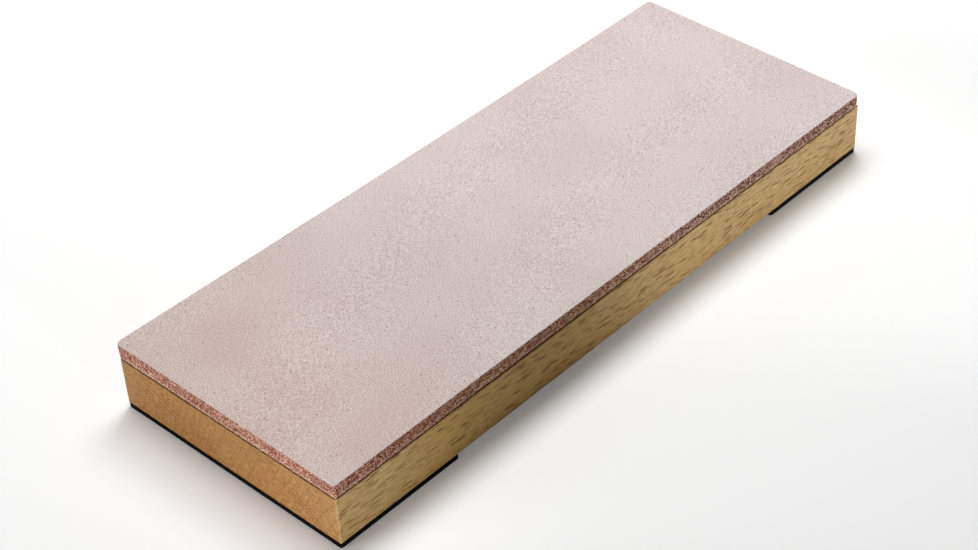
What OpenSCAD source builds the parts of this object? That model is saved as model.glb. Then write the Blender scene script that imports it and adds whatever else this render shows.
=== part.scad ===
// Bench strop: a leather slab bonded to a beech block that stands on two rubber pads.
// Millimetres. +X runs along the block, +Z points up, and the origin is on the bench
// under the middle of the block.

/* [Block] */
// Length of the block, along X
block_length = 203; // [120:1:330]
// Width of the block, along Y
block_width = 76; // [40:1:100]
// Thickness of the block
block_thickness = 14.2; // [8:0.1:30]
// Radius of the block's four upright corners
block_corner_r = 0.5; // [0.4:0.1:6]
// Radius that the block's long and end edges are eased to
block_edge_r = 0.3; // [0.2:0.1:2]

/* [Leather] */
// Thickness of the leather slab
leather_thickness = 3.9; // [2:0.1:6]
// Radius of the slab's four upright corners
leather_corner_r = 1.6; // [1:0.1:8]
// Radius that the slab's top edge is burnished to
leather_edge_r = 0.4; // [0.2:0.1:1]
// Thickness of the contact adhesive under the leather
adhesive_thickness = 0.3; // [0.1:0.05:0.5]
// How far the adhesive stays inside the leather's outline
adhesive_inset = 0.3; // [0.1:0.1:2]

/* [Rubber pads] */
// Length of each pad, along X
pad_length = 39.5; // [15:0.5:60]
// Thickness of the rubber
pad_thickness = 1.3; // [1:0.1:4]
// Radius of the pad's four upright corners
pad_corner_r = 0.8; // [0.5:0.1:4]
// Thickness of the self-adhesive film on the pad's back
film_thickness = 0.1; // [0.05:0.05:0.3]
// How far the film stays inside the pad's outline
film_inset = 0.2; // [0.1:0.1:1]

/* [Hidden] */
$fn = 48;

// Heights of the faces where one layer meets the next
film_z = pad_thickness;
block_z = film_z + film_thickness;
adhesive_z = block_z + block_thickness;
leather_z = adhesive_z + adhesive_thickness;

// Distance from the middle of the block to the middle of a pad
pad_x = (block_length - pad_length) / 2;

// Rectangle with round corners, centred on the origin
module round_rect(length, width, r) {
    square([length - 2 * r, width], center = true);
    square([length, width - 2 * r], center = true);
    for (sx = [-1, 1], sy = [-1, 1])
        translate([sx * (length / 2 - r), sy * (width / 2 - r)])
            circle(r = r);
}

// Upright slab with round corners, standing on z = 0
module slab(length, width, height, r) {
    linear_extrude(height = height)
        round_rect(length, width, r);
}

// Rectangle standing on the X axis with its top corners rounded, and its bottom ones
// too if both is true
module edge_profile(length, height, r, both) {
    bottom = both ? r : 0;
    translate([-length / 2, bottom])
        square([length, height - r - bottom]);
    translate([-length / 2 + r, 0])
        square([length - 2 * r, height]);
    for (sx = [-1, 1], z = both ? [r, height - r] : [height - r])
        translate([sx * (length / 2 - r), z])
            circle(r = r);
}

// Slab whose top edges are rounded all round, and its bottom ones too if both is true
module eased_slab(length, width, height, corner_r, edge_r, both) {
    intersection() {
        slab(length, width, height, corner_r);
        rotate([90, 0, 0])
            linear_extrude(height = width + 2, center = true)
                edge_profile(length, height, edge_r, both);
        rotate([90, 0, 90])
            linear_extrude(height = length + 2, center = true)
                edge_profile(width, height, edge_r, both);
    }
}

// Solid beech block, every edge eased
module beech_block() {
    color([0.72, 0.53, 0.32])
        translate([0, 0, block_z])
            eased_slab(block_length, block_width, block_thickness,
                       block_corner_r, block_edge_r, true);
}

// Leather slab as wide and long as the block, with a burnished top edge
module leather_slab() {
    color([0.84, 0.77, 0.75])
        translate([0, 0, leather_z])
            eased_slab(block_length, block_width, leather_thickness,
                       leather_corner_r, leather_edge_r, false);
}

// Sheet of contact adhesive between the leather and the block
module leather_adhesive() {
    color([0.22, 0.14, 0.08])
        translate([0, 0, adhesive_z])
            slab(block_length - 2 * adhesive_inset, block_width - 2 * adhesive_inset,
                 adhesive_thickness, leather_corner_r);
}

// Anti-slip pad across one end of the block: side is -1 for the left, 1 for the right
module rubber_pad(side) {
    color([0.05, 0.05, 0.05])
        translate([side * pad_x, 0, 0])
            slab(pad_length, block_width, pad_thickness, pad_corner_r);
}

// Self-adhesive film that holds a pad to the block
module pad_film(side) {
    color([0.16, 0.15, 0.14])
        translate([side * pad_x, 0, film_z])
            slab(pad_length - 2 * film_inset, block_width - 2 * film_inset,
                 film_thickness, pad_corner_r);
}

beech_block();
leather_slab();
leather_adhesive();
rubber_pad(-1);  // rubber_pad_left
rubber_pad(1);  // rubber_pad_right
pad_film(-1);  // pad_film_left
pad_film(1);  // pad_film_right
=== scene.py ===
"""Looks of a bench strop: a thick leather slab glued to a beech block on two rubber pads.

Lengths are metres in the CAD model's frame, +X along the block and +Z up. Names that end in
_MM, and every length inside a material, are millimetres.
"""

import math

import bpy
import numpy as np
from mathutils import Matrix, Vector, noise


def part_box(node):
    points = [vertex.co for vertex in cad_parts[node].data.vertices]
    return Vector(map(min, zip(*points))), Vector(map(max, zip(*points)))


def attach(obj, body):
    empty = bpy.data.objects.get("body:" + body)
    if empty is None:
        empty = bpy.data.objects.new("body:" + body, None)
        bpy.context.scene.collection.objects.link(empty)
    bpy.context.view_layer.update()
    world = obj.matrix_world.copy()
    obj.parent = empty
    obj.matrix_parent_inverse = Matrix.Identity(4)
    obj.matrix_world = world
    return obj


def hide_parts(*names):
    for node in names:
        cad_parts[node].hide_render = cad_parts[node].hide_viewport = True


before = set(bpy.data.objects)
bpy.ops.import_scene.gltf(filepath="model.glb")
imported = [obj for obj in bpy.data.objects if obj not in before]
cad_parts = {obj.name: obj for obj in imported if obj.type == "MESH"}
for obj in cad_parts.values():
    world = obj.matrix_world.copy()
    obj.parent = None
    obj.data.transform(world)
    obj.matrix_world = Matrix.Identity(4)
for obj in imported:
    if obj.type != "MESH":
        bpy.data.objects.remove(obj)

MM = 0.001
SCENE = bpy.context.scene
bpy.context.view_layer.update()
RANDOM = np.random.default_rng(27)

# Leather: how finely it is meshed, and how many rings round its top edge are round and nibbled
GRID_MM = 0.9
RIM_STEPS = 4
EDGE_STEP_MM = 0.16
TOP_RINGS = 3
NIBBLED_RINGS = 7

# Leather: how the cut slab differs from the plain CAD one
CORNER_R_MM = 1.6
NEAR_LEFT_CORNER_R_MM = 0.5
NEAR_RIGHT_CORNER_R_MM = 2.0
TOP_EDGE_R_MM = 0.3
FAR_EDGE_BOW_MM = 0.5
NEAR_EDGE_BOW_MM = 0.25
EDGE_WAVER_MM = 0.12
EDGE_WAVER_LENGTH_MM = 16
FAR_LEFT_OVERHANG_MM = 0.8
FAR_RIGHT_OVERHANG_MM = 0.3
RIGHT_END_SKEW_MM = 1.2
NEAR_CORNER_SKEW_SHARE = 0.2
THICKER_MM = 0.42
THINNER_MM = 0.55
THINNER_RISE = 1.6

# Leather: its uneven face and top edge; a pair is the size of the bumps and their height
FACE_BORDER_MM = 0.12
FACE_SWELL_MM = (14, 0.028)
FACE_RIPPLE_MM = (4, 0.007)
FACE_DROP_MM = 0.03
NIBBLE_MM = (0.8, 0.12)

# Leather: the crossed strands of its cut edge, where a relief of STRAND_LEVEL lies on the
# outline itself, and the loose fibres that stand proud of it
STRAND_LEANS = (38, -42)
STRAND_LENGTH_MM = 0.85
STRAND_WIDTH_MM = 0.26
STRAND_GAIN = 1.6
STRAND_LEVEL = 0.65
STRAND_HEIGHT_MM = 0.17
FIBRE_COUNT = 1500
FIBRE_LEAN_SPREAD = 14
FIBRE_LENGTHS_MM = (0.7, 1.8)
FIBRE_RADII_MM = (0.035, 0.075)
FIBRE_BOWS_MM = (0.02, 0.10)
FIBRE_ROOT_MM = 0.04
FIBRE_MARGIN_MM = 0.1
FIBRE_STATIONS = (0, 0.14, 0.38, 0.62, 0.86, 1)

# Adhesive: the size and depth of its bumps where it is squeezed out and runs down, and its lip
SQUEEZE_MM = (2.2, 0.12)
RUN_DOWN_MM = (1.4, 0.05)
ADHESIVE_LIP_MM = 0.05

# Beech: its eased edge, where the middle of the trunk was, and how fast the tree grew
BLOCK_EDGE_R_MM = 0.3
PITH_Y_MM = 100
PITH_Z_MM = -192
PITH_TO_BOARD_MM = 224
SLOW_YEARS_R_MM = 235
RING_MM = 1.35

# Colours, in linear red, green and blue; a pair is the darker one and the paler one
FACE_PINK = ((0.703, 0.546, 0.499), (0.753, 0.607, 0.567))
FACE_GREY = ((0.703, 0.590, 0.570), (0.729, 0.632, 0.620))
FACE_PAINTED_SHADE_BROWN = (0.55, 0.42, 0.38)
FACE_HOLLOW_PAINTED_SHADE = (0.42, 0.292, 0.258)
FACE_NAP_PAINTED_HIGHLIGHT = (0.92, 0.855, 0.83)
FACE_PORE = (0.30, 0.19, 0.15)
END_CUT = ((0.09, 0.018, 0.009), (0.485, 0.150, 0.084))
END_CUT_STRAND = (0.95, 0.64, 0.49)
END_CUT_RIM = (0.88, 0.64, 0.54)
END_CUT_SHADE = (0.10, 0.04, 0.03)
SIDE_CUT_RIGHT = ((0.014, 0.004, 0.002), (0.174, 0.052, 0.024))
SIDE_CUT_LEFT_PAINTED_LIGHT = ((0.022, 0.005, 0.002), (0.530, 0.138, 0.050))
SIDE_CUT_CORNER_PAINTED_SHADE = (0.325, 0.078, 0.032)
SIDE_CUT_STRAND = (0.76, 0.49, 0.38)
SIDE_CUT_STRAND_LEFT_PAINTED_LIGHT = (1.0, 0.72, 0.46)
SIDE_CUT_STRAND_CORNER_PAINTED_SHADE = (0.70, 0.43, 0.33)
SIDE_CUT_FOOT = (0.75, 0.55, 0.46)
FIBRE_BROWN = ((0.30, 0.125, 0.085), (0.64, 0.37, 0.29))
FIBRE_WHITE = (0.86, 0.68, 0.61)
FIBRE_SIDE = (0.15, 0.07, 0.05)
FIBRE_SPECK = (0.40, 0.20, 0.14)
SIDE_WOOD = ((0.385, 0.244, 0.085), (0.572, 0.400, 0.180))
SIDE_WOOD_PAINTED_WARM_SHADE = (0.600, 0.350, 0.080)
END_WOOD_OUTER = ((0.385, 0.188, 0.056), (0.493, 0.258, 0.088))
END_WOOD_HEART = ((0.410, 0.173, 0.034), (0.520, 0.239, 0.057))
END_WOOD_PORES = ((0.22, 0.078, 0.012), (0.71, 0.420, 0.180))
WOOD_CLOUD = (0.42, 0.25, 0.080)
WOOD_LATE = (0.24, 0.092, 0.018)
WOOD_RAY = (0.135, 0.052, 0.006)
WOOD_SMALL_RAY = (0.20, 0.095, 0.018)
WOOD_WORN_EDGE_AND_HIGHLIGHT = (0.62, 0.42, 0.20)
RUBBER = ((0.0016, 0.0016, 0.0018), (0.005, 0.0048, 0.0046))
ADHESIVE = ((0.080, 0.038, 0.009), (0.165, 0.084, 0.022))
FILM = ((0.02, 0.019, 0.018), (0.04, 0.037, 0.034))

# Camera
CAMERA_PLACE = (-0.3148, -0.3008, 0.3459)
CAMERA_FORWARD = (0.5565, 0.5493, -0.6233)
CAMERA_ROLL = -3.2
CAMERA_LENS_MM = 76.9
CAMERA_CLIP = 0.01

# Floor and world: what the camera sees is brighter than the light that they give
FLOOR_HALF = 4
FLOOR_COLOUR = 0.93
FLOOR_FADE_MM = (150, 600)
FLOOR_GLOW = (0.16, 0.93)
WORLD_LIGHT = 0.015
WORLD_SEEN = 0.95

# Lights
SOFT_LIGHT_TARGET = (0.03, 0, 0.01)
SPOT_LIGHT_RADIUS = 0.02


# ---------------------------------------------------------------- making pieces


def new_piece(name, points, faces):
    """A smooth mesh object at the origin, with its place in its points."""
    mesh = bpy.data.meshes.new(name)
    mesh.from_pydata([tuple(p) for p in points], [], faces)
    mesh.polygons.foreach_set("use_smooth", [True] * len(mesh.polygons))
    mesh.update()
    piece = bpy.data.objects.new(name, mesh)
    SCENE.collection.objects.link(piece)
    return piece


def store(piece, name, values):
    """Keeps one number for each point, which the piece's material reads by name."""
    attribute = piece.data.attributes.new(name, "FLOAT", "POINT")
    attribute.data.foreach_set("value", np.asarray(values, np.float32))


def bumps(points, size_and_height, seed):
    """Smooth noise at each point, in mm, from the size and the height of its bumps in mm."""
    size, height = size_and_height
    shift = Vector((13.7, 5.3, 9.1)) * seed
    scale = 1 / (size * MM)
    return np.array([noise.noise(Vector(p) * scale + shift) for p in points]) * height


def join_rings(base, count, rings):
    """Faces between rings of count points each, stored one after another from index base."""
    faces = []
    for start in range(base, base + (rings - 1) * count, count):
        for k in range(count):
            after = (k + 1) % count
            faces.append((start + k, start + count + k, start + count + after, start + after))
    return faces


def fill_ring(ring):
    """Downward faces across a ring that runs anticlockwise, from its first point outwards."""
    half = len(ring) // 2
    faces = [(ring[0], ring[-1], ring[1])]
    for k in range(1, half - 1):
        faces.append((ring[k], ring[-k], ring[-k - 1], ring[k + 1]))
    faces.append((ring[half - 1], ring[half + 1], ring[half]))
    return faces


def finish_piece(piece, paint, slot, *nodes):
    """Gives a piece its material and its place in the assembly."""
    piece.data.materials.append(paint)
    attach(piece, "root")
    if nodes:
        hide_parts(*nodes)


def repaint(node, paint):
    """Gives a CAD node that keeps its own shape a better material."""
    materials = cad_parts[node].data.materials
    materials.clear()
    materials.append(paint)


# ---------------------------------------------------------------- materials


class Tree:
    """A material's nodes, with short calls for the few kinds used here.

    mm is the point's place in the object, in millimetres.
    """

    def __init__(self, name):
        self.material = bpy.data.materials.new(name)
        self.material.use_nodes = True
        self.tree = self.material.node_tree
        self.shader = self.tree.nodes["Principled BSDF"]
        place = self.add("TexCoord").outputs["Object"]
        self.mm = self.add("VectorMath", {0: place, "Scale": 1 / MM}, operation="SCALE").outputs[0]

    def add(self, kind, inputs=None, **settings):
        """A new node, with values or other nodes' sockets as its inputs."""
        node = self.tree.nodes.new("ShaderNode" + kind)
        for key, value in settings.items():
            setattr(node, key, value)
        for key, value in (inputs or {}).items():
            self.plug(node.inputs[key], value)
        return node

    def plug(self, socket, value):
        if isinstance(value, bpy.types.NodeSocket):
            self.tree.links.new(value, socket)
        else:
            socket.default_value = value

    def math(self, operation, a, b=0.0):
        return self.add("Math", {0: a, 1: b}, operation=operation).outputs[0]

    def times(self, a, b):
        return self.math("MULTIPLY", a, b)

    def plus(self, a, b):
        return self.math("ADD", a, b)

    def split(self, vector):
        return self.add("SeparateXYZ", {0: vector}).outputs

    def join(self, x, y, z):
        return self.add("CombineXYZ", {0: x, 1: y, 2: z}).outputs[0]

    def scaled(self, vector, x, y, z):
        """The vector with each axis measured in units of that many millimetres."""
        factors = (1 / x, 1 / y, 1 / z)
        return self.add("VectorMath", {0: vector, 1: factors}, operation="MULTIPLY").outputs[0]

    def leaning(self, across, up, degrees, length, width):
        """A flat pattern's coordinates, turned and then measured in lengths and widths."""
        c, s = math.cos(math.radians(degrees)), math.sin(math.radians(degrees))
        along = self.plus(self.times(across, c / length), self.times(up, s / length))
        over = self.plus(self.times(across, -s / width), self.times(up, c / width))
        return self.join(self.plus(along, degrees), over, 0.0)

    def noise(self, vector, size=1.0, detail=2.0, roughness=0.5, distortion=0.0):
        inputs = {"Vector": vector, "Scale": 1 / size, "Detail": detail, "Roughness": roughness}
        inputs["Distortion"] = distortion
        return self.add("TexNoise", inputs).outputs["Fac"]

    def cells(self, vector, size=1.0):
        """In X and Y, distance to the nearest scattered point, and that point's random number."""
        inputs = {"Vector": vector, "Scale": 1 / size}
        node = self.add("TexVoronoi", inputs, voronoi_dimensions="2D")
        return node.outputs["Distance"], self.split(node.outputs["Color"])[2]

    def ramp(self, value, start, end, low=0.0, high=1.0):
        """low up to start, then smoothly to high at end."""
        inputs = {"Value": value, "From Min": start, "From Max": end, "To Min": low, "To Max": high}
        return self.add("MapRange", inputs, interpolation_type="SMOOTHSTEP").outputs[0]

    def mix(self, factor, a, b):
        """Two colours mixed, each a linear (r, g, b) or a socket."""
        a, b = [(*c, 1) if isinstance(c, tuple) else c for c in (a, b)]
        return self.add("Mix", {0: factor, 6: a, 7: b}, data_type="RGBA").outputs[2]

    def attribute(self, name):
        return self.add("Attribute", attribute_name=name).outputs["Fac"]

    def bump(self, height, depth_mm, normal=None):
        """A bump depth_mm deep, on top of another bump if one is given."""
        inputs = {"Height": height, "Distance": depth_mm * MM, "Strength": 1.0}
        if normal:
            inputs["Normal"] = normal
        return self.add("Bump", inputs).outputs[0]

    def finish(self, colour, roughness, normal, specular):
        """Connects the surface's colour, roughness and bumps, and gives the material."""
        self.plug(self.shader.inputs["Base Color"], colour)
        self.plug(self.shader.inputs["Roughness"], roughness)
        self.plug(self.shader.inputs["Normal"], normal)
        self.shader.inputs["Specular IOR Level"].default_value = specular
        return self.material


def face_clouds(t, x, y):
    """The face's broad colour: pinker to the left, greyer to the right, with painted shade that
    browns the far left corner.
    """
    cloud = t.ramp(t.noise(t.mm, size=26, detail=1), 0.36, 0.66)
    pink = t.mix(cloud, *FACE_PINK)
    grey = t.mix(cloud, *FACE_GREY)
    colour = t.mix(t.ramp(x, -85, -30), pink, grey)
    # Painted shade: browner towards the far left corner of the face.
    painted_shade_far_left = t.times(t.ramp(x, -50, -95), t.ramp(y, -5, 30, 0, 0.30))
    return t.mix(painted_shade_far_left, colour, FACE_PAINTED_SHADE_BROWN)


def leather_face(t):
    """Colour, height and nap of the buffed face: soft clouds, nap, slanting creases and pores, with
    painted shade in the hollows of the grain and a painted highlight on its raised nap.
    """
    x, y, _ = t.split(t.mm)
    nap = t.noise(t.mm, size=0.34, detail=0)
    crease = t.noise(t.leaning(x, y, degrees=50, length=1.6, width=0.26), detail=0, distortion=0.3)
    patch = t.ramp(t.noise(t.mm, size=9, detail=1), 0.42, 0.62)
    lines = t.times(t.plus(crease, -0.5), t.ramp(patch, 0, 1, 0.15, 0.22))
    grain = t.plus(nap, lines)
    # Painted shade darkens the hollows of the grain, and a painted highlight lightens its raised nap.
    colour = t.mix(t.ramp(grain, 0.48, 0.24, 0, 0.50), face_clouds(t, x, y), FACE_HOLLOW_PAINTED_SHADE)
    colour = t.mix(t.ramp(grain, 0.52, 0.76, 0, 0.56), colour, FACE_NAP_PAINTED_HIGHLIGHT)

    far, luck = t.cells(t.mm, size=1.5)
    size = t.ramp(luck, 0.80, 1.0, 0.0, 0.17)
    pore = t.ramp(t.math("SUBTRACT", far, size), 0.0, -0.06)
    colour = t.mix(t.times(pore, 0.75), colour, FACE_PORE)
    return colour, t.plus(grain, t.times(pore, -0.4)), nap


def strand_tone(t, run, up):
    """How light the cut edge is: short strands that cross each other, and fine specks."""
    flat = t.join(run, up, 0.0)
    curled_run = t.plus(run, t.noise(flat, size=0.7, detail=1))
    curled_up = t.plus(up, t.noise(t.join(run, up, 9.0), size=0.7, detail=1))
    tone = 0.0
    for lean in STRAND_LEANS:
        place = t.leaning(curled_run, curled_up, lean, STRAND_LENGTH_MM, STRAND_WIDTH_MM)
        far, luck = t.cells(place)
        strand = t.times(t.ramp(far, 0.50, 0.28), t.ramp(luck, 0.25, 0.8))
        tone = t.math("MAXIMUM", tone, strand)
    speck = t.noise(flat, size=0.26, detail=3, roughness=0.6)
    tone = t.plus(t.times(tone, 0.72), t.times(t.plus(speck, -0.5), 1.35))
    return t.plus(tone, t.times(t.plus(t.attribute("fibre"), -0.5), 0.12))


def end_cut(t, tone, up, y):
    """The cut edge across the ends: pale at top and foot, a little darker to the near corner."""
    colour = t.mix(t.ramp(tone, -0.18, 0.05), *END_CUT)
    colour = t.mix(t.ramp(tone, 0.24, 0.53), colour, END_CUT_STRAND)
    pale = t.plus(t.ramp(up, 0.8, 0.2, 0, 0.4), t.ramp(up, 3.3, 3.8, 0, 0.6))
    colour = t.mix(pale, colour, END_CUT_RIM)
    return t.mix(t.ramp(y, -12, -36, 0, 0.16), colour, END_CUT_SHADE)


def side_cut(t, tone, up, x):
    """The cut edge along the sides: dark to the right, with painted light that makes it redder and
    lighter to the left, and painted shade that dulls it towards the left corners.
    """
    # left is where the painted light falls, and corner is where the painted shade falls, towards the
    # left corners.
    left = t.ramp(x, 30, -25)
    corner = t.ramp(x, -60, -85)
    dark, middle = [t.mix(left, *pair) for pair in zip(SIDE_CUT_RIGHT, SIDE_CUT_LEFT_PAINTED_LIGHT)]
    middle = t.mix(corner, middle, SIDE_CUT_CORNER_PAINTED_SHADE)
    painted_light_strands = t.times(left, t.ramp(x, -85, -45))
    pale = t.mix(painted_light_strands, SIDE_CUT_STRAND, SIDE_CUT_STRAND_LEFT_PAINTED_LIGHT)
    pale = t.mix(corner, pale, SIDE_CUT_STRAND_CORNER_PAINTED_SHADE)
    colour = t.mix(t.ramp(tone, -0.15, 0.07), dark, middle)
    colour = t.mix(t.ramp(tone, 0.25, 0.47), colour, pale)
    return t.mix(t.ramp(up, 1.1, 0.6, 0, 0.2), colour, SIDE_CUT_FOOT)


def leather_cut(t):
    """Colour and height of the cut edge."""
    x, y, _ = t.split(t.mm)
    up = t.attribute("up")
    tone = strand_tone(t, t.attribute("run"), up)
    colour = t.mix(t.attribute("long_side"), end_cut(t, tone, up, y), side_cut(t, tone, up, x))
    return colour, tone


def leather_paint():
    """Buffed pale leather on top, with bare red-brown cut edges."""
    t = Tree("strop_leather")
    face, face_height, nap = leather_face(t)
    cut, cut_height = leather_cut(t)
    ragged = t.plus(t.attribute("cut"), t.times(t.plus(nap, -0.5), 0.6))
    on_cut = t.ramp(ragged, 0.35, 0.6)
    on_face = t.math("SUBTRACT", 1.0, on_cut)
    normal = t.bump(t.times(face_height, on_face), 0.16)
    normal = t.bump(t.times(cut_height, on_cut), 0.16, normal)
    t.shader.inputs["Sheen Weight"].default_value = 0.03
    t.shader.inputs["Sheen Roughness"].default_value = 0.5
    roughness = t.ramp(nap, 0.3, 0.7, 0.78, 0.92)
    return t.finish(t.mix(on_cut, face, cut), roughness, normal, specular=0.10)


def fibre_paint():
    """Loose leather fibres, from red-brown to nearly white, darker along the long sides."""
    t = Tree("leather_fibre")
    tone = t.attribute("tone")
    speck = t.noise(t.mm, size=0.3, detail=2)
    colour = t.mix(t.ramp(tone, 0, 0.6), *FIBRE_BROWN)
    colour = t.mix(t.ramp(tone, 0.5, 1), colour, FIBRE_WHITE)
    colour = t.mix(t.times(t.attribute("long_side"), 0.6), colour, FIBRE_SIDE)
    colour = t.mix(t.ramp(speck, 0.35, 0.7, 0, 0.3), colour, FIBRE_SPECK)
    roughness = t.ramp(speck, 0.3, 0.7, 0.7, 0.88)
    return t.finish(colour, roughness, t.bump(speck, 0.03), specular=0.2)


def place_in_trunk(t):
    """Distance along the trunk, around it and out from its pith, the last also without its sway."""
    x, y, z = t.split(t.mm)
    y_from_pith = t.plus(y, -PITH_Y_MM)
    z_from_pith = t.plus(z, -PITH_Z_MM)
    square = t.plus(t.times(y_from_pith, y_from_pith), t.times(z_from_pith, z_from_pith))
    radius = t.math("SQRT", square)
    around = t.times(t.math("ARCTAN2", y_from_pith, z_from_pith), PITH_TO_BOARD_MM)
    sway = t.noise(t.scaled(t.mm, 160, 18, 18), detail=1)
    around = t.plus(around, t.times(sway, 4.0))
    return x, around, t.plus(radius, t.times(sway, 2.0)), radius


def beech_late_wood(t, place, out, radius):
    """A thin dark band that ends each year's ring, clear near the pith and in a few slow years."""
    uneven = t.noise(t.join(0.0, 0.0, out), size=4.5, detail=1)
    ring = t.math("FRACT", t.times(t.plus(out, t.times(uneven, 2.0)), 1 / RING_MM))
    band = t.times(t.ramp(ring, 0.45, 0.93), t.ramp(ring, 1.0, 0.95))
    from_slow_years = t.math("ABSOLUTE", t.plus(radius, -SLOW_YEARS_R_MM))
    clear_rings = t.plus(t.ramp(radius, 223, 216), t.ramp(from_slow_years, 2.4, 1.0))
    broken = t.noise(t.scaled(place, 30, 5, 1.6), detail=1)
    band = t.times(band, t.ramp(clear_rings, 0, 1, 0.2, 1))
    return t.times(band, t.ramp(broken, 0.35, 0.65, 0.6, 1))


def beech_rays(t, x, around):
    """Large and small rays: dashes along the trunk, each row slid along so they don't line up."""
    place = t.join(t.plus(x, t.times(around, 5)), around, 0.0)
    far, luck = t.cells(t.scaled(place, 4.6, 0.23, 1))
    size = t.ramp(luck, 0.50, 1.0, -0.1, 0.42)
    large = t.ramp(t.math("SUBTRACT", far, size), 0.05, -0.07)
    far, luck = t.cells(t.scaled(place, 4.5, 0.22, 1))
    return large, t.times(t.ramp(far, 0.34, 0.18), t.ramp(luck, 0.4, 0.6))


def beech_facing(t):
    """Where a face is end grain, and where it is part of an eased edge, paler from sanding wear and a
    painted highlight.
    """
    face = t.add("NewGeometry").outputs["True Normal"]
    nx, ny, nz = [t.math("ABSOLUTE", part) for part in t.split(face)]
    flat = t.math("MAXIMUM", nx, t.math("MAXIMUM", ny, nz))
    return t.ramp(nx, 0.6, 0.8), t.ramp(flat, 0.998, 0.95)


def beech_side(t, x, vessels):
    """Colour of the sides: straw brown, with painted warm shade along part of the left half."""
    colour = t.mix(t.ramp(vessels, 0.36, 0.64), *SIDE_WOOD)
    # Painted warm shade: stretch is where it darkens and warms the side, strongest from x -65 to -25
    # mm.
    stretch = t.times(t.ramp(x, -90, -65), t.ramp(x, 10, -25))
    return t.mix(t.times(stretch, 0.6), colour, SIDE_WOOD_PAINTED_WARM_SHADE)


def beech_end(t, place, radius, vessels):
    """Colour of the ends: redder towards the pith, with dark pores and pale flecks."""
    heart = t.ramp(radius, 246, 217)
    dark, pale = [t.mix(heart, *pair) for pair in zip(END_WOOD_OUTER, END_WOOD_HEART)]
    colour = t.mix(t.ramp(vessels, 0.38, 0.64), dark, pale)
    flecks = t.noise(t.scaled(place, 9, 1.0, 0.24), detail=2, roughness=0.6)
    colour = t.mix(t.ramp(flecks, 0.50, 0.28, 0, 1.0), colour, END_WOOD_PORES[0])
    return t.mix(t.ramp(flecks, 0.53, 0.72, 0, 0.95), colour, END_WOOD_PORES[1])


def beech_paint():
    """Steamed beech, worked out in the round: rings about the pith, and rays that run out from it."""
    t = Tree("beech")
    x, around, out, radius = place_in_trunk(t)
    place = t.join(x, around, out)
    vessels = t.noise(t.scaled(place, 2.8, 0.17, 0.17), detail=2, roughness=0.6)
    cloud = t.noise(t.scaled(t.mm, 40, 12, 12), detail=2)
    late_wood = beech_late_wood(t, place, out, radius)
    rays, small_rays = beech_rays(t, x, around)
    end_grain, worn_edge_and_highlight = beech_facing(t)

    side, end = beech_side(t, x, vessels), beech_end(t, place, radius, vessels)
    colour = t.mix(end_grain, side, end)
    colour = t.mix(t.ramp(cloud, 0.35, 0.7, 0, 0.3), colour, WOOD_CLOUD)
    colour = t.mix(t.times(late_wood, 0.9), colour, WOOD_LATE)
    large_share = t.times(rays, t.ramp(end_grain, 0, 1, 0.95, 0.25))
    colour = t.mix(large_share, colour, WOOD_RAY)
    small_share = t.times(small_rays, t.ramp(end_grain, 0, 1, 0.5, 0.25))
    colour = t.mix(small_share, colour, WOOD_SMALL_RAY)
    # The eased edges are painted paler: partly sanding wear, partly a painted highlight.
    colour = t.mix(t.times(worn_edge_and_highlight, 0.3), colour, WOOD_WORN_EDGE_AND_HIGHLIGHT)

    height = t.plus(vessels, t.plus(t.times(rays, -0.7), t.times(late_wood, 0.3)))
    roughness = t.ramp(vessels, 0.3, 0.7, 0.62, 0.5)
    return t.finish(colour, roughness, t.bump(height, 0.04), specular=0.3)


def rubber_paint():
    """Matt black sheet rubber with a fine moulded tooth and a little dust."""
    t = Tree("black_rubber")
    tooth = t.noise(t.mm, size=0.35, detail=3, roughness=0.65)
    dust = t.noise(t.mm, size=5, detail=4, roughness=0.7)
    colour = t.mix(t.ramp(dust, 0.5, 0.8, 0, 0.5), *RUBBER)
    roughness = t.ramp(tooth, 0.3, 0.7, 0.6, 0.8)
    return t.finish(colour, roughness, t.bump(tooth, 0.04), specular=0.08)


def adhesive_paint():
    """Dried contact adhesive: a dark brown film with a faint gloss."""
    t = Tree("contact_adhesive")
    lumps = t.noise(t.mm, size=1.2, detail=3)
    colour = t.mix(t.ramp(lumps, 0.4, 0.7), *ADHESIVE)
    roughness = t.ramp(lumps, 0.3, 0.7, 0.5, 0.7)
    return t.finish(colour, roughness, t.bump(lumps, 0.06), specular=0.08)


def film_paint():
    """Self-adhesive film behind a pad."""
    t = Tree("adhesive_film")
    crinkle = t.noise(t.mm, size=2.5, detail=3)
    colour = t.mix(t.ramp(crinkle, 0.35, 0.7), *FILM)
    roughness = t.ramp(crinkle, 0.3, 0.7, 0.5, 0.65)
    return t.finish(colour, roughness, t.bump(crinkle, 0.03), specular=0.4)


# ---------------------------------------------------------------- leather


def round_corner(x, y, half_length, half_width, r):
    """Moves a point of a plain rectangle so that the rectangle's corners become round."""
    over_x = max(abs(x) - (half_length - r), 0)
    over_y = max(abs(y) - (half_width - r), 0)
    if over_x == 0 or over_y == 0:
        return x, y
    pull = max(over_x, over_y) / math.hypot(over_x, over_y)
    return (
        math.copysign(half_length - r + over_x * pull, x),
        math.copysign(half_width - r + over_y * pull, y),
    )


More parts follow.
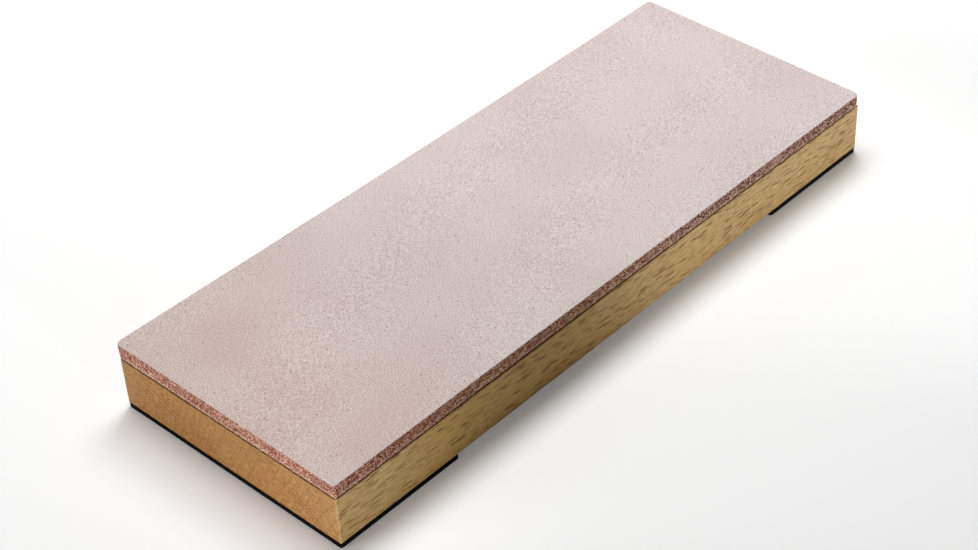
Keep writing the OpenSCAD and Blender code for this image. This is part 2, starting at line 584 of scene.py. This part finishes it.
class Outline:
    """The leather seen from above: what its face, cut edge, glue line and fibres follow."""

    def __init__(self, node):
        self.low, self.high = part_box(node)
        self.half_length = (self.high.x - self.low.x) / 2
        self.half_width = (self.high.y - self.low.y) / 2
        self.columns = round(self.half_length * 2 / (GRID_MM * MM))
        self.rows = round(self.half_width * 2 / (GRID_MM * MM))

    def shares(self, x, y):
        """How far a point is towards the right end and towards the far side, each from 0 to 1."""
        return 0.5 + x / self.half_length / 2, 0.5 + y / self.half_width / 2

    def place(self, u, v, inset, own=1):
        """The point at u, v, each from -1 to 1, on the outline shrunk by inset.

        An own of 0 gives the straight edges of the block instead of the leather's own, which
        bow in a little and were not cut quite square.
        """
        half_length = self.half_length - inset
        half_width = self.half_width - inset
        near_r = NEAR_LEFT_CORNER_R_MM if u < 0 else NEAR_RIGHT_CORNER_R_MM
        r = near_r if v < 0 else CORNER_R_MM
        x, y = round_corner(u * half_length, v * half_width, half_length, half_width, r * MM - inset)
        right, far = self.shares(x, y)
        middle = 4 * right * (1 - right)
        sag = FAR_EDGE_BOW_MM if y > 0 else NEAR_EDGE_BOW_MM
        wave = noise.noise(Vector((x / (EDGE_WAVER_LENGTH_MM * MM), math.copysign(3, y), 0)))
        overhang = FAR_LEFT_OVERHANG_MM * (1 - right) + FAR_RIGHT_OVERHANG_MM * right
        shift_x = right * (far + NEAR_CORNER_SKEW_SHARE) * RIGHT_END_SKEW_MM
        bow = (sag + EDGE_WAVER_MM * wave) * middle
        shift_y = far * overhang - bow * y / self.half_width
        return x + own * shift_x * MM, y + own * shift_y * MM

    def lift(self, x, y):
        """How much thicker the leather is here than the CAD slab: least at the near right."""
        right, far = self.shares(x, y)
        thicker = THICKER_MM * far * (1 - right / 2)
        return (thicker - THINNER_MM * (1 - far) * min(THINNER_RISE * right, 1)) * MM

    def rim(self, inset, own=1):
        """Points round the outline, anticlockwise from its far right corner."""
        across, up = self.columns * RIM_STEPS, self.rows * RIM_STEPS
        far = [(1 - 2 * i / across, 1) for i in range(across)]
        left = [(-1, 1 - 2 * i / up) for i in range(up)]
        near = [(2 * i / across - 1, -1) for i in range(across)]
        right = [(1, 2 * i / up - 1) for i in range(up)]
        return np.array([self.place(u, v, inset, own) for u, v in far + left + near + right])

    def walk(self):
        """The rim's points, how far along it each one is, and the way outward there."""
        rim = self.rim(0)
        steps = np.linalg.norm(np.roll(rim, -1, axis=0) - rim, axis=1)
        run = np.concatenate([[0], np.cumsum(steps)[:-1]])
        ahead = np.roll(rim, -1, axis=0) - np.roll(rim, 1, axis=0)
        outward = np.stack([ahead[:, 1], -ahead[:, 0], np.zeros(len(rim))], axis=1)
        return rim, run, outward / np.linalg.norm(outward, axis=1)[:, None]


def face_grid(outline):
    """Points and faces of the leather's top, and the indices of its border."""
    inset = (TOP_EDGE_R_MM + FACE_BORDER_MM) * MM
    columns, rows = outline.columns, outline.rows
    points = []
    for j in range(rows + 1):
        for i in range(columns + 1):
            x, y = outline.place(2 * i / columns - 1, 2 * j / rows - 1, inset)
            points.append((x, y, outline.high.z + outline.lift(x, y)))
    points = np.array(points)
    waves = bumps(points, FACE_SWELL_MM, seed=1) + bumps(points, FACE_RIPPLE_MM, seed=2)
    points[:, 2] += (waves - FACE_DROP_MM) * MM

    stride = columns + 1
    faces = []
    for j in range(rows):
        for i in range(columns):
            a = j * stride + i
            faces.append((a, a + 1, a + 1 + stride, a + stride))
    far = [rows * stride + columns - i for i in range(columns)]
    left = [(rows - j) * stride for j in range(rows)]
    right = [columns + j * stride for j in range(rows)]
    return points, faces, far + left + list(range(columns)) + right


def border_faces(border, first, count):
    """Faces from the top's coarse border out to the first ring of the cut edge."""
    faces = []
    for k, here in enumerate(border):
        after = border[(k + 1) % len(border)]
        outer = [first + (RIM_STEPS * k + m) % count for m in range(RIM_STEPS + 1)]
        half = RIM_STEPS // 2
        faces += [(here, outer[m], outer[m + 1]) for m in range(half)]
        faces.append((here, outer[half], after))
        faces += [(after, outer[m], outer[m + 1]) for m in range(half, RIM_STEPS)]
    return faces


def cut_profile(outline):
    """Inset and height of each ring of the cut edge, from the face down to the glue."""
    r = TOP_EDGE_R_MM * MM
    rings = []
    for k in range(TOP_RINGS + 1):
        a = math.radians(90 * k / TOP_RINGS)
        rings.append((r * (1 - math.sin(a)), outline.high.z - r * (1 - math.cos(a))))
    drop = outline.high.z - r - outline.low.z
    count = round(drop / (EDGE_STEP_MM * MM))
    rings += [(0, outline.high.z - r - drop * (k + 1) / count) for k in range(count)]
    return rings


def strand_relief(run, height):
    """From 0 to 1 over the cut edge: high on strands that cross each other."""
    relief = np.zeros(len(run))
    for lean in STRAND_LEANS:
        c, s = math.cos(math.radians(lean)), math.sin(math.radians(lean))
        along = (run * c + height * s) / (STRAND_LENGTH_MM * MM)
        over = (height * c - run * s) / (STRAND_WIDTH_MM * MM)
        layer = [noise.noise(Vector((a, b, lean))) for a, b in zip(along, over)]
        relief = np.maximum(relief, layer)
    return np.clip(relief * STRAND_GAIN, 0, 1)


def cut_band(outline, profile):
    """Points of the cut edge's rings, and the values that its material reads there."""
    _, run, outward = outline.walk()
    rings = np.array([[(x, y, h) for x, y in outline.rim(inset)] for inset, h in profile])
    band = rings.reshape(-1, 3)
    level = np.repeat(np.arange(len(profile)), len(run))
    run = np.tile(run, len(profile))
    outward = np.tile(outward, (len(profile), 1))

    up = band[:, 2] - outline.low.z
    relief = strand_relief(run, up)
    lift = np.array([outline.lift(x, y) for x, y, _ in band])
    band[:, 2] += lift * up / up.max()
    share = np.clip(level / TOP_RINGS, 0, 1)
    band += outward * ((relief - STRAND_LEVEL) * STRAND_HEIGHT_MM * MM * share)[:, None]
    top_edge = share * np.clip((NIBBLED_RINGS - level) / TOP_RINGS, 0, 1)
    band[:, 2] += bumps(band, NIBBLE_MM, seed=4) * top_edge * MM
    values = {
        "cut": np.clip((level - 0.5) / (TOP_RINGS - 0.5), 0, 1),
        "fibre": relief,
        "run": run / MM,
        "up": up / MM,
        "long_side": outward[:, 1] ** 2,
    }
    return band, values


def make_leather(outline):
    """One closed skin: a gently uneven face, a nibbled top edge and a fibrous cut edge."""
    top, faces, border = face_grid(outline)
    profile = cut_profile(outline)
    band, values = cut_band(outline, profile)
    base = len(top)
    count = len(band) // len(profile)
    faces += border_faces(border, base, count)
    faces += join_rings(base, count, len(profile))
    last = base + (len(profile) - 1) * count
    faces += fill_ring(list(range(last, last + count)))
    leather = new_piece("leather_hide", np.vstack([top, band]), faces)
    for name, on_band in values.items():
        on_top = on_band.max() if name == "up" else 0
        store(leather, name, np.concatenate([np.full(base, on_top), on_band]))
    finish_piece(leather, leather_paint(), "strop_leather", "leather_slab")


def strand(middle, along, outward, length, radius, bow):
    """Points and faces of one closed, tapering strand that bows away from the cut edge."""
    sideways = np.cross(along, outward)
    points = []
    for t in FIBRE_STATIONS:
        out = bow * 4 * t * (1 - t) - FIBRE_ROOT_MM * MM
        centre = middle + along * ((t - 0.5) * length) + outward * out
        if t in (0, 1):
            points.append(centre)
            continue
        for turn in (0, 120, 240):
            a = math.radians(turn)
            points.append(centre + (outward * math.cos(a) + sideways * math.sin(a)) * radius)
    tip = len(points) - 1
    faces = []
    for k in range(3):
        after = (k + 1) % 3
        faces.append((0, 1 + after, 1 + k))
        faces.append((tip, tip - 3 + k, tip - 3 + after))
        for ring in (1, 4, 7):
            faces.append((ring + k, ring + after, ring + 3 + after, ring + 3 + k))
    return points, faces


def make_fibres(outline):
    """Loose strands that stand a little proud of the leather's cut edge."""
    rim, _, outward = outline.walk()
    points, faces, tones, sides = [], [], [], []
    for _ in range(FIBRE_COUNT):
        k = RANDOM.integers(len(rim))
        out = outward[k]
        lean = math.radians(RANDOM.choice(STRAND_LEANS) + RANDOM.normal(0, FIBRE_LEAN_SPREAD))
        flat = np.array((-out[1], out[0], 0))
        along = flat * math.cos(lean) + np.array((0, 0, math.sin(lean)))
        length = RANDOM.uniform(*FIBRE_LENGTHS_MM) * MM
        reach = abs(along[2]) * length / 2 + FIBRE_MARGIN_MM * MM
        top = outline.high.z + outline.lift(*rim[k])
        middle = np.array((*rim[k], RANDOM.uniform(outline.low.z + reach, top - reach)))
        radius = RANDOM.uniform(*FIBRE_RADII_MM) * MM
        bow = RANDOM.uniform(*FIBRE_BOWS_MM) * MM
        more, skin = strand(middle, along, out, length, radius, bow)
        faces += [tuple(len(points) + i for i in face) for face in skin]
        points += more
        tones += [RANDOM.random()] * len(more)
        sides += [out[1] ** 2] * len(more)
    fibres = new_piece("leather_edge_fibres", points, faces)
    store(fibres, "tone", tones)
    store(fibres, "long_side", sides)
    finish_piece(fibres, fibre_paint(), "strop_leather")


def adhesive_profile():
    """Each ring's inset in mm, its height, and its share of the leather's own outline."""
    low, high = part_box("leather_adhesive")
    lip = ADHESIVE_LIP_MM * MM
    profile = [(0.20, high.z, 1), (0.05, high.z - lip, 1), (0.02, low.z + lip, 0.7)]
    for angle in (8, 35, 62, 90):
        a = math.radians(angle)
        drop = BLOCK_EDGE_R_MM * (1 - math.sin(a))
        profile.append((BLOCK_EDGE_R_MM * (1 - math.cos(a)), low.z - drop * MM, 0))
    return profile


def make_adhesive(outline):
    """The sheet of adhesive, squeezed out to the faces and down the block's eased edge."""
    profile = adhesive_profile()
    rings = []
    for inset, z, own in profile:
        rings.append([(x, y, z) for x, y in outline.rim(inset * MM, own)])
    rings = np.array(rings)
    outward = outline.walk()[2]
    rings[1:3] -= outward * np.abs(bumps(rings[0], SQUEEZE_MM, seed=6) * MM)[:, None]
    rings[1:4, :, 2] += bumps(rings[0], RUN_DOWN_MM, seed=7) * MM

    count = rings.shape[1]
    faces = join_rings(0, count, len(profile))
    last = count * (len(profile) - 1)
    faces += fill_ring(list(range(last, last + count)))
    faces += [face[::-1] for face in fill_ring(list(range(count)))]
    sheet = new_piece("adhesive_sheet", rings.reshape(-1, 3), faces)
    finish_piece(sheet, adhesive_paint(), "contact_adhesive", "leather_adhesive")


# ---------------------------------------------------------------- camera, floor and light


def make_camera():
    """A camera that looks along CAMERA_FORWARD, tilted a little to one side."""
    camera = bpy.data.objects.new("camera", bpy.data.cameras.new("camera"))
    SCENE.collection.objects.link(camera)
    level = Vector(CAMERA_FORWARD).to_track_quat("-Z", "Y")
    roll = Matrix.Rotation(math.radians(CAMERA_ROLL), 4, "Z")
    camera.matrix_world = Matrix.Translation(CAMERA_PLACE) @ level.to_matrix().to_4x4() @ roll
    camera.data.lens = CAMERA_LENS_MM
    camera.data.clip_start = CAMERA_CLIP
    SCENE.camera = camera


def make_floor():
    """A large pale floor that, as the camera sees it, fades to white far from the strop."""
    half = FLOOR_HALF
    corners = [(-half, -half, 0), (half, -half, 0), (half, half, 0), (-half, half, 0)]
    floor = new_piece("floor", corners, [(0, 1, 2, 3)])
    t = Tree("floor")
    from_strop = t.add("VectorMath", {0: t.mm}, operation="LENGTH").outputs["Value"]
    seen = t.add("LightPath").outputs["Is Camera Ray"]
    glow = t.times(seen, t.ramp(from_strop, *FLOOR_FADE_MM, *FLOOR_GLOW))
    t.plug(t.shader.inputs["Emission Strength"], glow)
    t.shader.inputs["Emission Color"].default_value = (1, 1, 1, 1)
    t.shader.inputs["Base Color"].default_value = (FLOOR_COLOUR, FLOOR_COLOUR, FLOOR_COLOUR, 1)
    t.shader.inputs["Roughness"].default_value = 0.9
    t.shader.inputs["Specular IOR Level"].default_value = 0.2
    floor.data.materials.append(t.material)


def make_world():
    """White all round to the eye, though it lights the object only faintly."""
    world = bpy.data.worlds.new("studio")
    SCENE.world = world
    world.use_nodes = True
    nodes = world.node_tree.nodes
    background = nodes["Background"]
    background.inputs["Color"].default_value = (1, 1, 1, 1)
    seen = nodes.new("ShaderNodeLightPath").outputs["Is Camera Ray"]
    strength = nodes.new("ShaderNodeMapRange")
    strength.inputs["To Min"].default_value = WORLD_LIGHT
    strength.inputs["To Max"].default_value = WORLD_SEEN
    world.node_tree.links.new(seen, strength.inputs["Value"])
    world.node_tree.links.new(strength.outputs["Result"], background.inputs["Strength"])


def aim(light, place, target):
    """Puts a light at a place, facing a target."""
    lamp = bpy.data.objects.new(light.name, light)
    SCENE.collection.objects.link(lamp)
    lamp.location = place
    lamp.rotation_euler = (Vector(place) - Vector(target)).to_track_quat("Z", "Y").to_euler()


def soft_light(name, azimuth, elevation, distance, size, power):
    """A round soft box, azimuth degrees anticlockwise from +X, facing the strop."""
    light = bpy.data.lights.new(name, "AREA")
    light.shape = "DISK"
    light.size = size
    light.energy = power
    a, e = math.radians(azimuth), math.radians(elevation)
    direction = Vector((math.cos(a) * math.cos(e), math.sin(a) * math.cos(e), math.sin(e)))
    aim(light, Vector(SOFT_LIGHT_TARGET) + direction * distance, SOFT_LIGHT_TARGET)


def spot_light(name, place, target, half_angle, blend, power):
    """A soft-edged spot, low down, for one stretch of the block's sides."""
    light = bpy.data.lights.new(name, "SPOT")
    light.spot_size = math.radians(2 * half_angle)
    light.spot_blend = blend
    light.shadow_soft_size = SPOT_LIGHT_RADIUS
    light.energy = power
    aim(light, place, target)


def make_lights():
    """Soft boxes over the far right, with low lights that model the two sides in view."""
    soft_light("key_right", azimuth=30, elevation=60, distance=0.6, size=0.3, power=1.92)
    soft_light("key_top", azimuth=90, elevation=75, distance=0.6, size=0.3, power=1.62)
    soft_light("fill_left", azimuth=160, elevation=8, distance=0.8, size=0.4, power=3.0)
    spot_light(
        "side_right",
        place=(0.30, -0.55, 0.05),
        target=(0.0715, -0.038, 0.009),
        half_angle=7.05,
        blend=0.32,
        power=8.0,
    )
    spot_light(
        "side_left",
        place=(-0.20, -0.65, 0.05),
        target=(-0.12, -0.038, 0.009),
        half_angle=6,
        blend=1,
        power=7.2,
    )
    spot_light(
        "end_left",
        place=(-0.60, -0.15, 0.05),
        target=(-0.1015, -0.045, 0.009),
        half_angle=5,
        blend=1,
        power=3.4,
    )


# ---------------------------------------------------------------- the scene


outline = Outline("leather_slab")
make_leather(outline)
make_fibres(outline)
make_adhesive(outline)
repaint("beech_block", beech_paint())
rubber = rubber_paint()
film = film_paint()
for side in ("left", "right"):
    repaint("rubber_pad_" + side, rubber)
    repaint("pad_film_" + side, film)

make_camera()
make_floor()
make_world()
make_lights()
SCENE.view_settings.view_transform = "Standard"
